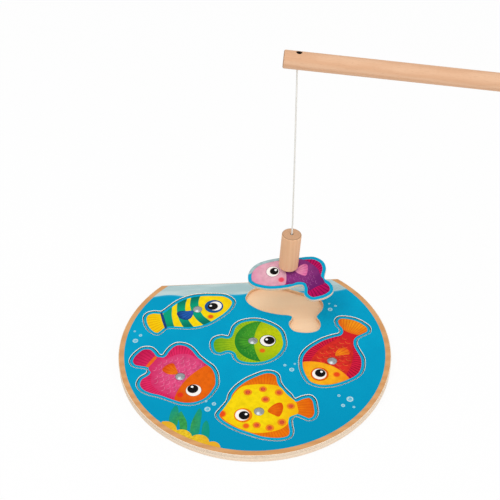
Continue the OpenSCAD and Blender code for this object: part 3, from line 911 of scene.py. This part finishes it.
def scaleRowsTree():
    # a staggered field of small arcs, kept where all of an arc lies over the picture given
    group, tree, wires, finish = newNodeTree("scaleRows", [
        ("Picture", "Object", None),
        ("Width", "Float", 60.0),
        ("Height", "Float", 60.0),
        ("Columns", "Int", 12),
        ("Rows", "Int", 20),
        ("Radius", "Float", 2.4),
        ("Line", "Float", 0.3),
        ("Thickness", "Float", 0.03),
        ("Facing", "Float", 0.0),
        ("Ink", "Material", None),
    ])
    above = 5.0    # the grid looks down on the picture from here
    grid = tree.node("GeometryNodeMeshGrid", None, {
        "Size X": wires["Width"], "Size Y": wires["Height"],
        "Vertices X": wires["Columns"], "Vertices Y": wires["Rows"]})
    index = tree.node("GeometryNodeInputIndex")
    odd = index.math("FLOORED_MODULO", wires["Rows"]).math("FLOORED_MODULO", 2.0)
    pitch = wires["Width"] / (wires["Columns"] - 1)
    points = tree.node("GeometryNodeSetPosition", None, {
        "Geometry": grid, "Offset": tree.join(odd * pitch * 0.5, 0.0, above)})
    picture = tree.node(
        "GeometryNodeObjectInfo", {"transform_space": "RELATIVE"}, {0: wires["Picture"]}, "Geometry")
    position = tree.node("GeometryNodeInputPosition")
    kept = None
    for aside, ahead in ((0.0, 1.0), (1.0, 0.0), (-1.0, 0.0), (0.0, 1.6), (0.0, -0.6)):
        reach = wires["Radius"] * 1.25
        start = tree.node("ShaderNodeVectorMath", {"operation": "ADD"}, {
            0: position, 1: tree.join(reach * ahead, reach * aside, 0.0)})
        cast = tree.node("GeometryNodeRaycast", {"data_type": "FLOAT"}, {
            "Target Geometry": picture, "Source Position": start,
            "Ray Direction": tree.join(0.0, 0.0, -1.0), "Ray Length": 20.0}, "Is Hit")
        kept = kept * cast if kept else cast
    outside = tree.node(
        "FunctionNodeCompare", {"data_type": "FLOAT", "operation": "LESS_THAN"}, {0: kept, 1: 0.5})
    left = tree.node(
        "GeometryNodeDeleteGeometry", {"domain": "POINT"}, {"Geometry": points, "Selection": outside})
    arc = tree.node("GeometryNodeCurveArc", {"mode": "RADIUS"}, {
        "Resolution": 11, "Radius": wires["Radius"],
        "Start Angle": math.radians(-62), "Sweep Angle": math.radians(124)})
    profile = tree.node("GeometryNodeCurvePrimitiveQuadrilateral", {"mode": "RECTANGLE"}, {
        "Width": wires["Line"], "Height": wires["Thickness"]})
    solid = tree.node("GeometryNodeCurveToMesh", None, {
        "Curve": arc, "Profile Curve": profile, "Fill Caps": True})
    placed = tree.node("GeometryNodeInstanceOnPoints", None, {
        "Points": left, "Instance": solid, "Rotation": tree.join(0.0, 0.0, wires["Facing"])})
    real = tree.node("GeometryNodeRealizeInstances", None, {"Geometry": placed})
    lowered = tree.node("GeometryNodeSetPosition", None, {
        "Geometry": real, "Offset": tree.join(0.0, 0.0, -above)})
    tree.plug(finish, tree.node("GeometryNodeSetMaterial", None, {
        "Geometry": lowered, "Material": wires["Ink"]}))
    return group


def grown(name, mesh, group, settings):
    # runs the node tree on the mesh and gives back its result as a plain mesh
    source = addObject(name, mesh)
    modifier = source.modifiers.new(name, "NODES")
    modifier.node_group = group
    for item in group.interface.items_tree:
        if item.in_out == "INPUT" and item.name in settings:
            modifier[item.identifier] = settings[item.name]
    ready = source.evaluated_get(bpy.context.evaluated_depsgraph_get())
    result = bpy.data.meshes.new_from_object(ready)
    source.modifiers.remove(modifier)
    bpy.data.objects.remove(source)
    return result


roundMarks = roundMarksTree()
scaleRows = scaleRowsTree()


def addMarks(name, look, height, place, inks):
    # marks are x, y and size; inks are those of the rim, the core and the glint
    mesh = bpy.data.meshes.new(name + "Points")
    mesh.from_pydata([(x, y, height) for x, y, size in look["marks"]], [], [])
    sizes = mesh.attributes.new("size", "FLOAT", "POINT")
    sizes.data.foreach_set("value", [size for x, y, size in look["marks"]])
    made = grown(name + "s", mesh, roundMarks, {
        "Thickness": inkLevel, "Sides": look["sides"], "Core Share": look["coreShare"],
        "Glint Share": look["glintShare"], "Rim Material": inks[0], "Core Material": inks[1],
        "Glint Material": inks[2]})
    made.transform(unitPlace(place))
    addPiece(name + "s", made)


# Fish

def finRays(centre, count, colour, inner=3.0, strength=0.6, **more):
    return dict(centre=centre, count=count, colour=colour, inner=inner, strength=strength, **more)


def patch(level, colour, dark=None, **facts):
    return dict(level=level, colour=colour, dark=dark, **facts)


def blush(x, y, radius, colour):
    return dict(centre=(x, y), radius=radius, colour=colour)


# Each print has a ground, patches in layers of ink, an eye, and spots or scales. A patch has points of its
# own, or is the ground moved inside and cut by a circle: within is its x, y and radius. The dark ink sets in
# over reach, in mm from centre.
fishPrints = {
    "striped": dict(
        base=dict(
            colour=(250, 218, 8), dark=(242, 192, 0), centre=(-2, 1), reach=(16, 48),
            bands=dict(arcs=(((30, 0), 35.6), ((30, -4.5), 47.9), ((30, -10), 60.5)), width=7.2,
                       colour=(0, 158, 118), dark=(0, 112, 92)),
            rays=finRays((-18, -4), 46, (214, 140, 0), 14.0, left=-31.5),
            blushes=[blush(8.5, -11.8, 3.4, (228, 92, 24))]),
        patches=[
            patch(2, (28, 66, 124), straight=True, points=[
                (-31.4, 4.4), (-29.5, 5.2), (-29.2, -4), (-29.5, -14.6), (-31.4, -15.6), (-31.8, -5)]),
            patch(3, (34, 92, 172), (16, 52, 112), centre=(-9, -3), reach=(3, 10),
                  points=[(-4, -1), (-9, 0.5), (-15, 2), (-18, 0), (-17, -6), (-12, -10), (-7, -8)],
                  rays=finRays((-2, -1), 26, (12, 40, 96))),
        ],
        eye=dict(at=(14.2, -0.4), radius=7.9, white=5.5, pupil=4.3, look=(-0.9, 0.2), glint=(-1.6, 1.1),
                 ring=(20, 84, 150), aside=(1.2, 0.1))),
    "green": dict(
        base=dict(
            colour=(166, 196, 20), dark=(96, 160, 24), centre=(4, -1), reach=(18, 40),
            rays=finRays((2, -1), 60, (92, 146, 20), 16.0, 0.55)),
        patches=[
            patch(2, (66, 156, 40), (34, 126, 38), inside=0.2, within=(8, -1, 23), centre=(10, 4),
                  reach=(8, 28)),
            patch(4, (190, 202, 10), (150, 182, 12), inside=0.15, within=(48.7, -7, 48.3), centre=(16, 0),
                  reach=(8, 24), blushes=[blush(6.2, -12, 3.2, (226, 104, 20))]),
            patch(4, (72, 160, 40), (36, 120, 36), centre=(-5, 0), reach=(3, 10),
                  points=[(-1, 2), (-6, 6.5), (-11, 5), (-13, -1), (-11, -7), (-6, -8), (-1, -4)],
                  rays=finRays((3, -1), 24, (26, 100, 32))),
        ],
        scales=dict(radius=1.9, columns=15, rows=20, facing=0.0, ink=(96, 174, 56)),
        eye=dict(at=(12, -1.5), radius=6.8, white=6.2, pupil=4.5, look=(1.3, 0.2), glint=(-1.9, 1.3),
                 ring=(46, 92, 34))),
    "pink": dict(
        base=dict(
            colour=(226, 40, 98), dark=(190, 18, 74), centre=(0, 0), reach=(24, 46),
            rays=finRays((-2, 1), 74, (160, 10, 60), 20.0)),
        patches=[
            patch(2, (226, 76, 128), (206, 40, 96), centre=(0, 3), reach=(12, 30), mottle=0.2, points=[
                (8, 21.5), (0, 23.5), (-9, 23), (-16, 18), (-20, 11), (-27, 8), (-27, -4.5), (-21, -9),
                (-16, -17), (-8, -20.5), (1, -21), (8, -20), (16, -8), (16, 8)]),
            patch(4, (232, 102, 8), (212, 74, 4), inside=0.15, within=(60, -4, 54.3), centre=(17, 2),
                  reach=(10, 30), blushes=[blush(10.5, -16, 3.4, (224, 50, 24))]),
            patch(4, (236, 104, 24), (206, 60, 30), straight=True, points=[
                (-29.8, 8.4), (-27.4, 7.8), (-27.2, 2), (-27.4, -4.4), (-29.8, -5.0), (-30.2, 2)]),
            patch(4, (240, 116, 16), (214, 74, 10), centre=(-6, 2), reach=(3, 11),
                  points=[(-3.5, 1.5), (-8, 6), (-13, 9), (-16.5, 4), (-16, -1.5), (-9, -2.5)],
                  rays=finRays((-2, 1.5), 24, (196, 60, 10))),
        ],
        scales=dict(radius=2.4, columns=12, rows=17, facing=0.0, ink=(240, 130, 168)),
        eye=dict(at=(17, -6.9), radius=6.2, white=5.9, pupil=4.3, look=(-1.3, 0.9), glint=(-1.6, 1.5),
                 ring=(150, 58, 16))),
    "spotted": dict(
        base=dict(
            colour=(236, 120, 6), dark=(218, 88, 6), centre=(4, 2), reach=(24, 42),
            rays=finRays((4, 3), 78, (206, 82, 8), 20.0, 0.65)),
        patches=[
            patch(2, (248, 216, 8), (242, 180, 4), centre=(-4, 4), reach=(14, 34), points=[
                (-29.5, 0.5), (-27, 4.5), (-21.5, 13), (-16, 21.5), (-10, 26.5), (0, 27.5), (10, 26.5),
                (18, 23.5), (23, 15), (28.5, 7.5), (29.5, 2), (29, -4.5), (22.5, -7.5), (20, -14),
                (14, -18.5), (4, -20.5), (-6, -20), (-15, -15.5), (-23, -9.5), (-27.5, -4.5)],
                  blushes=[blush(-28.5, 0.3, 4.6, (232, 74, 20)), blush(-11, -13, 3.4, (236, 96, 24))]),
            patch(4, (232, 106, 6), (216, 80, 4), centre=(10, 1), reach=(3, 10),
                  points=[(6.5, 0), (12, 6), (17.5, 7), (18.5, 1.5), (15, -6), (11, -4.5)],
                  rays=finRays((4, 0), 26, (206, 76, 8))),
        ],
        spots=dict(
            marks=[(-7, 20, 3.3), (5, 22, 3.1), (17, 17.5, 3.3), (6, 11.5, 3.4), (24.5, 3, 3.2),
                   (-3, -13, 3.1), (6.5, -16.5, 3.3), (16, -12, 3.4)],
            sides=32, coreShare=0.58, glintShare=0.0, rim=(240, 140, 24), core=(224, 88, 56)),
        eye=dict(at=(-12.3, -2.6), radius=6.9, white=5.4, pupil=4.1, look=(0.7, -0.2), glint=(1.6, 0.9),
                 ring=(240, 132, 12), aside=(-0.6, 0.2))),
    "red": dict(
        base=dict(
            colour=(214, 26, 62), dark=(184, 12, 50), centre=(4, 0), reach=(18, 34),
            rays=finRays((4, 0), 52, (128, 4, 30), 11.0, 0.9)),
        patches=[
            patch(2, (220, 46, 36), (206, 26, 38), centre=(2, 0), reach=(12, 34), mottle=0.25, points=[
                (-16, 13), (-8, 15.2), (4, 15), (14, 12), (22, 8.6), (30, 5), (36, 5.2), (36, -5.2),
                (30, -5), (22, -8), (14, -12), (4, -15), (-6, -16), (-16, -13)]),
            patch(4, (246, 150, 20), (228, 92, 20), inside=0.15, within=(62, 1, 26.5), centre=(50, 1),
                  reach=(6, 18), rays=finRays((24, 1), 60, (204, 84, 12), 8.0, 0.7)),
            patch(4, (252, 178, 24), (240, 134, 14), inside=0.15, within=(-40, -1, 35), centre=(-16, 1),
                  reach=(8, 24), blushes=[blush(-11.5, -9.5, 3.6, (232, 72, 24))]),
            patch(4, (246, 136, 20), (228, 92, 20), centre=(9, -2), reach=(3, 10),
                  points=[(6.5, 0), (12, 1.5), (17, -1), (17.5, -5.5), (13.5, -9), (10.5, -5)],
                  rays=finRays((4, 2), 26, (190, 50, 16))),
        ],
        scales=dict(radius=2.4, columns=12, rows=14, facing=math.pi, ink=(240, 120, 50)),
        eye=dict(at=(-17.6, 2.4), radius=7.1, white=5.6, pupil=4.2, look=(1.2, 0.1), glint=(1.7, -0.3),
                 ring=(228, 100, 6), aside=(0.0, 0.3))),
    "purple": dict(
        # this fish hangs out of its recess, so its edge has no painted shade
        charred=0.0,
        sky=(-175, 992.7, 1000),
        border=2.9,
        base=dict(
            colour=(196, 14, 96), dark=(158, 4, 78), centre=(8, -12), reach=(12, 32),
            rays=finRays((10, -14), 44, (104, 0, 56), 7.0, 0.85)),
        patches=[
            patch(2, (142, 54, 128), (108, 30, 102), centre=(5, -2), reach=(8, 26), points=[
                (-2, 9), (6, 7), (13, 4.2), (18, -1), (22, -9), (22.5, -17), (23.5, -21.5), (23, -25),
                (16, -26.5), (9, -28.5), (8.7, -24.5), (8, -20), (3, -17.3), (-4, -17.4), (-12, -10),
                (-12, 2)]),
            patch(4, (230, 174, 189), (216, 134, 166), inside=0.15, within=(-32, -3, 28), centre=(-14, -2),
                  reach=(6, 22), blushes=[blush(-9.5, -11, 3.4, (228, 72, 96))]),
            patch(4, (240, 150, 190), (218, 108, 164), centre=(7, -5), reach=(2, 9),
                  points=[(4, -6), (9, -1.5), (14.5, -1.5), (14.5, -6), (10.5, -13)],
                  rays=finRays((2, -6), 24, (196, 70, 140))),
        ],
        scales=dict(radius=1.9, columns=15, rows=20, facing=math.pi, ink=(168, 88, 154)),
        eye=dict(at=(-14, -0.6), radius=5.7, white=5.3, pupil=3.6, look=(1.2, 0.0), glint=(1.5, 0.8),
                 ring=(170, 96, 130))),
}
eyeInks = {"white": (250, 246, 240), "iris": (62, 36, 24), "pupil": (14, 11, 11), "glint": (252, 252, 250),
           "irisWidth": 0.45, "glintRadius": 1.05}
scaleField = {"width": 64.0, "height": 56.0, "line": 0.32}
inkKeys = ("dark", "centre", "reach", "rays", "blushes", "bands", "mottle")


def inkFacts(look):
    return {key: look[key] for key in inkKeys if key in look}


def cutByCircle(loop, centre, radius, steps=24):
    # the part of the loop inside a circle that crosses it twice, closed along the circle
    middle = Vector(centre)
    inside = [(p - middle).length <= radius for p in loop]
    count = len(loop)
    k = next(k for k in range(count) if inside[k] and not inside[k - 1])
    kept = []
    while inside[k % count]:
        kept.append(loop[k % count])
        k += 1
    first, last = kept[0] - middle, kept[-1] - middle
    low = math.atan2(last.y, last.x)
    high = math.atan2(first.y, first.x)
    while high < low:
        high += 2 * math.pi
    if high - low > math.pi:
        high -= 2 * math.pi
    return kept + [middle + onCircle(radius, low + (high - low) * j / steps) for j in range(1, steps)]


def patchLoop(look, picture):
    if "points" in look:
        loop = [Vector(p) for p in look["points"]] if look.get("straight") else smoothLoop(look["points"])
        return loop if area(loop) > 0 else loop[::-1]
    x, y, radius = look["within"]
    return cutByCircle(movedLoop(picture, -look["inside"]), (x, y), radius)


def makeFishBlank(name, place, loop, at, charred):
    height = fishMade["thickness"]
    edge = plyEdgeMaterial(name + "PlyEdge", 0, height, charred=charred, **at)
    veneer = woodMaterial(name + "Veneer", woodLooks["margin"], **at)
    bm = bmesh.new()
    wall = roundedFoot(0, fishMade["roundFoot"], 0) + roundedHead(height, fishMade["roundTop"], 0)
    addPlate(bm, [lambda inset: movedLoop(loop, -inset)], wall, 1, 1)
    makePiece(name + "Fish", bm, [edge, veneer], place, name + "_fish")


def makeFishPrint(name, place, loop, at, look):
    height = fishMade["thickness"]
    picture = movedLoop(loop, -look.get("border", fishMade["border"]))
    inks = []
    bm = bmesh.new()

    def tile(outline, level, label, colour, **facts):
        inks.append(inkMaterial(name + label, colour, **at, **facts))
        addTile(bm, outline, height + inkLevel * level, len(inks) - 1)

    border = movedLoop(loop, -fishMade["roundTop"] * 0.35)
    tile(border, 0.5, "Border", seaLook["sea"], mottle=0.05)
    if "sky" in look:
        x, y, radius = look["sky"]
        tile(cutByCircle(border, (x, y), radius, 60), 0.8, "Sky", seaLook["sky"], mottle=0.15)
    tile(picture, 1, "Ground", look["base"]["colour"], **inkFacts(look["base"]))
    outlines = [patchLoop(one, picture) for one in look["patches"]]
    for k, (one, outline) in enumerate(zip(look["patches"], outlines)):
        tile(outline, one["level"], f"Patch{k + 1}", one["colour"], **inkFacts(one))
    eye = look["eye"]
    middle = Vector(eye["at"])
    white = middle + Vector(eye.get("aside", (0, 0)))
    iris = middle + Vector(eye["look"])
    for level, label, centre, radius, sides, colour, mottle in (
            (5, "EyeRing", middle, eye["radius"], 48, eye["ring"], 0.2),
            (6, "EyeWhite", white, eye["white"], 48, eyeInks["white"], 0.05),
            (7, "Iris", iris, eye["pupil"], 48, eyeInks["iris"], 0.1),
            (8, "Pupil", iris, eye["pupil"] - eyeInks["irisWidth"], 48, eyeInks["pupil"], 0.02),
            (9, "Glint", iris + Vector(eye["glint"]), eyeInks["glintRadius"], 24, eyeInks["glint"], 0.0)):
        tile(circleLoop(centre, radius, sides), level, label, colour, mottle=mottle)
    makePiece(name + "Print", bm, inks, place)
    if "spots" in look:
        spots = look["spots"]
        rim = inkMaterial(name + "SpotRim", spots["rim"], mottle=0.1, **at)
        core = inkMaterial(name + "SpotCore", spots["core"], mottle=0.25, mottleSize=1.5, **at)
        addMarks(name + "Spot", spots, height + inkLevel * 2, place, [rim, core, core])
    if "scales" in look:
        makeScales(name, place, outlines[0], at, look["scales"])


def makeScales(name, place, outline, at, scales):
    height = fishMade["thickness"]
    bm = bmesh.new()
    addTile(bm, outline, height, 0)
    picture = addObject(name + "Target", meshOf(name + "Target", bm))
    ink = inkMaterial(name + "ScaleInk", scales["ink"], mottle=0.15, **at)
    mesh = grown(name + "Scales", bpy.data.meshes.new(name + "ScaleStart"), scaleRows, {
        "Picture": picture, "Width": scaleField["width"], "Height": scaleField["height"],
        "Columns": scales["columns"], "Rows": scales["rows"], "Radius": scales["radius"],
        "Line": scaleField["line"], "Thickness": inkLevel * 2, "Facing": scales["facing"], "Ink": ink})
    bpy.data.objects.remove(picture)
    print(name, "scale arcs:", len(mesh.polygons))
    mesh.transform(unitPlace(place) @ Matrix.Translation((0, 0, height + inkLevel * 2)))
    addPiece(name + "Scales", mesh)


studLook = {"steel": (154, 159, 161), "roughness": 0.26, "brush": 0.12, "domeSteps": 14, "bur": 0.15}
studSteel = metalMaterial("studSteel", studLook["steel"], studLook["roughness"], studLook["brush"])


def makeStud(name, place):
    # a domed head with a rolled edge on a plain shank
    reach, shank, foot = stud["diameter"] / 2, stud["shankDiameter"] / 2, -stud["shankLength"]
    bur, steps = studLook["bur"], studLook["domeSteps"]
    profile = [(0, foot), (shank - bur, foot), (shank, foot + bur), (shank, 0),
               (reach - 0.25, 0.0), (reach - 0.05, 0.06), (reach - 0.02, 0.2)]
    for k in range(1, steps + 1):
        radius = (reach - 0.2) * (1 - k / steps)
        profile.append((radius, stud["dome"] - studBall + math.sqrt(studBall ** 2 - radius ** 2)))
    bm = bmesh.new()
    lathe(bm, profile)
    top = place @ Matrix.Translation((0, 0, fishMade["thickness"] * mm))
    makePiece(name + "Stud", bm, [studSteel], top, name + "_fish_stud")


def makeFish(name, look):
    place = places[name]
    at = {"origin": place.translation, "turn": turnOf(place)}
    outline = smoothLoop(cadLoops(name + "_fish", place, 0)[0], 2)
    makeFishBlank(name, place, outline, at, look.get("charred", fishMade["charred"]))
    makeFishPrint(name, place, outline, at, look)
    makeStud(name, place)


for fishName, fishLook in fishPrints.items():
    makeFish(fishName, fishLook)
print("fish made:", len(fishPrints))


# Print on the board: bubbles, seaweed and rocks

boardPrint = {
    "bubbles": dict(
        marks=[(-97, 12, 2.2), (-93, 18, 1.3), (-98, 23, 0.9), (-39, -64, 2.3), (-34, -59, 1.6),
               (-40, -56, 1.0), (23, -22, 1.2), (28, -27, 1.9), (31, -21, 0.8), (66, 40, 1.9), (71, 44, 1.1),
               (66, 47, 0.8), (70, -60, 2.6), (64, -66, 1.5), (72, -68, 1.0), (62, -56, 1.2)],
        sides=28, coreShare=0.66, glintShare=0.24, rim=(190, 226, 234), core=(112, 192, 218)),
    "weed": [((-65, -79), 20, 6, 2), ((-57, -84), 19, 5, -2), ((-49, -88), 25, 6, 4), ((-41, -92), 17, 5, 1)],
    "weedInk": dict(
        colour=(58, 160, 78), dark=(6, 146, 128), centre=(-56, -76), reach=(2, 20), mottle=0.25,
        mottleSize=2.5),
    "rocks": [(-71, -83, 9), (-59, -91, 8.5), (-46, -96, 8), (-36, -101, 6)],
    "rockInk": dict(
        colour=(240, 200, 40), dark=(226, 170, 40), centre=(-56, -92), reach=(4, 22), mottle=0.25,
        mottleSize=2.0),
}


def makeBoardPrint():
    bubbles = boardPrint["bubbles"]
    white = inkMaterial("bubbleRim", bubbles["rim"], mottle=0.2, mottleSize=1.0)
    pale = inkMaterial("bubbleCore", bubbles["core"], mottle=0.15)
    addMarks("bubble", bubbles, boardTop + inkLevel, boardFrame, [white, pale, white])
    weed = inkMaterial("weedInk", **boardPrint["weedInk"])
    rock = inkMaterial("rockInk", **boardPrint["rockInk"])
    bm = bmesh.new()
    for k, (foot, tall, wide, sway) in enumerate(boardPrint["weed"]):
        blade = [(-wide / 2, 0), (0, -1), (wide / 2, 0), (wide * 0.6 + sway * 0.3, tall * 0.45),
                 (sway + wide * 0.3, tall * 0.85), (sway, tall), (sway - wide * 0.5, tall * 0.8),
                 (-wide * 0.55 + sway * 0.2, tall * 0.4)]
        outline = smoothLoop([Vector(p) + Vector(foot) for p in blade], 4)
        addTile(bm, outline, boardTop + inkLevel * (2 + k * 0.2), 0)
    edge = board["radius"] - board["rim"]
    for k, (x, y, radius) in enumerate(boardPrint["rocks"]):
        loop = circleLoop((x, y), radius)
        if Vector((x, y)).length + radius > edge:
            loop = cutByCircle(loop, (0, 0), edge)
        addTile(bm, loop, boardTop + inkLevel * (3 + k * 0.2), 1)
    makePiece("seaBed", bm, [weed, rock], boardFrame)
    print("board print made")


makeBoardPrint()


# Pieces whose solid is already right get their finish

def dressNodes():
    rodRadius = rodPlace["diameter"] / 2
    finishes = {
        "base_board": sheetMaterial("baseSheet", woodLooks["floor"], 0, board["baseThickness"]),
        "rod": woodMaterial(
            "rodBeech", woodLooks["rod"], rodExit * mm, turnOf(rodTurn), 0.5,
            ends=(-rodPlace["holeIn"], rodPlace["length"] - rodPlace["holeIn"], rodRadius, rodRadius, 0),
            hole=(knotRoom / 2, rodRadius, rodRadius)),
        "magnet_holder": woodMaterial(
            "holderBeech", woodLooks["turned"], holderFoot * mm, (0, -math.atan2(1, holder["lean"]), 0), 0.2,
            ends=(0, holder["length"], holder["diameter"] / 2, 0, cord["holeDiameter"] / 2)),
        "magnet": metalMaterial("nickel", (190, 188, 182), 0.18, 0.1),
    }
    for name, material in finishes.items():
        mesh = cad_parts[name].data
        mesh.materials.clear()
        mesh.materials.append(material)
    print("solid pieces finished")


dressNodes()


# Stage and light

studio = {
    "floorWhite": (247, 247, 247),
    "floorGlow": 0.88,
    "floorHalf": 6.0,
    "world": 0.68,
    "key": {"place": (-0.7, -0.7, 2.7), "aim": (0.0, 0.0, 0.02), "size": 2.4, "power": 29.0},
    "fill": {"place": (1.9, -2.8, 1.4), "aim": (0.0, 0.0, 0.05), "size": 2.6, "power": 29.0},
}


def lookTowards(place, aim):
    way = (Vector(place) - Vector(aim)).normalized()
    return Matrix.Translation(Vector(place)) @ way.to_track_quat("Z", "Y").to_matrix().to_4x4()


def seenDirectly(tree):
    # 1 for what the camera sees, also in metal and glass
    ray = tree.node("ShaderNodeLightPath").socket.node
    camera, glossy, through = [
        Value(tree, ray.outputs[f"Is {kind} Ray"]) for kind in ("Camera", "Glossy", "Transmission")]
    return camera.most(glossy).most(through)


def makeFloor():
    floor = bpy.data.meshes.new("floor")
    wide = studio["floorHalf"]
    corners = [(-wide, -wide, 0), (wide, -wide, 0), (wide, wide, 0), (-wide, wide, 0)]
    floor.from_pydata(corners, [], [(0, 1, 2, 3)])
    material, tree, shader = newMaterial("paleFloor", 0.9, shine=0.0)
    shader.inputs["Base Color"].default_value = paint(studio["floorWhite"])
    glow = tree.node("ShaderNodeEmission", None, {"Color": (1, 1, 1, 1), "Strength": 1.0})
    share = seenDirectly(tree) * studio["floorGlow"]
    both = tree.node("ShaderNodeMixShader", None, {0: share, 1: shader.outputs[0], 2: glow})
    tree.plug(material.node_tree.nodes["Material Output"].inputs["Surface"], both)
    floor.materials.append(material)
    addObject("floor", floor)


def makeStage():
    scene = bpy.context.scene
    scene.view_settings.view_transform = "Standard"
    makeFloor()
    world = bpy.data.worlds.new("studio")
    scene.world = world
    world.use_nodes = True
    tree = Tree(world.node_tree)
    background = world.node_tree.nodes["Background"]
    background.inputs["Color"].default_value = (1, 1, 1, 1)
    tree.plug(background.inputs["Strength"], seenDirectly(tree) * (1 - studio["world"]) + studio["world"])
    for name in ("key", "fill"):
        look = studio[name]
        data = bpy.data.lights.new(name, "AREA")
        data.shape = "DISK"
        data.size = look["size"]
        data.energy = look["power"]
        addObject(name, data).matrix_world = lookTowards(look["place"], look["aim"])
    print("stage made")


makeStage()
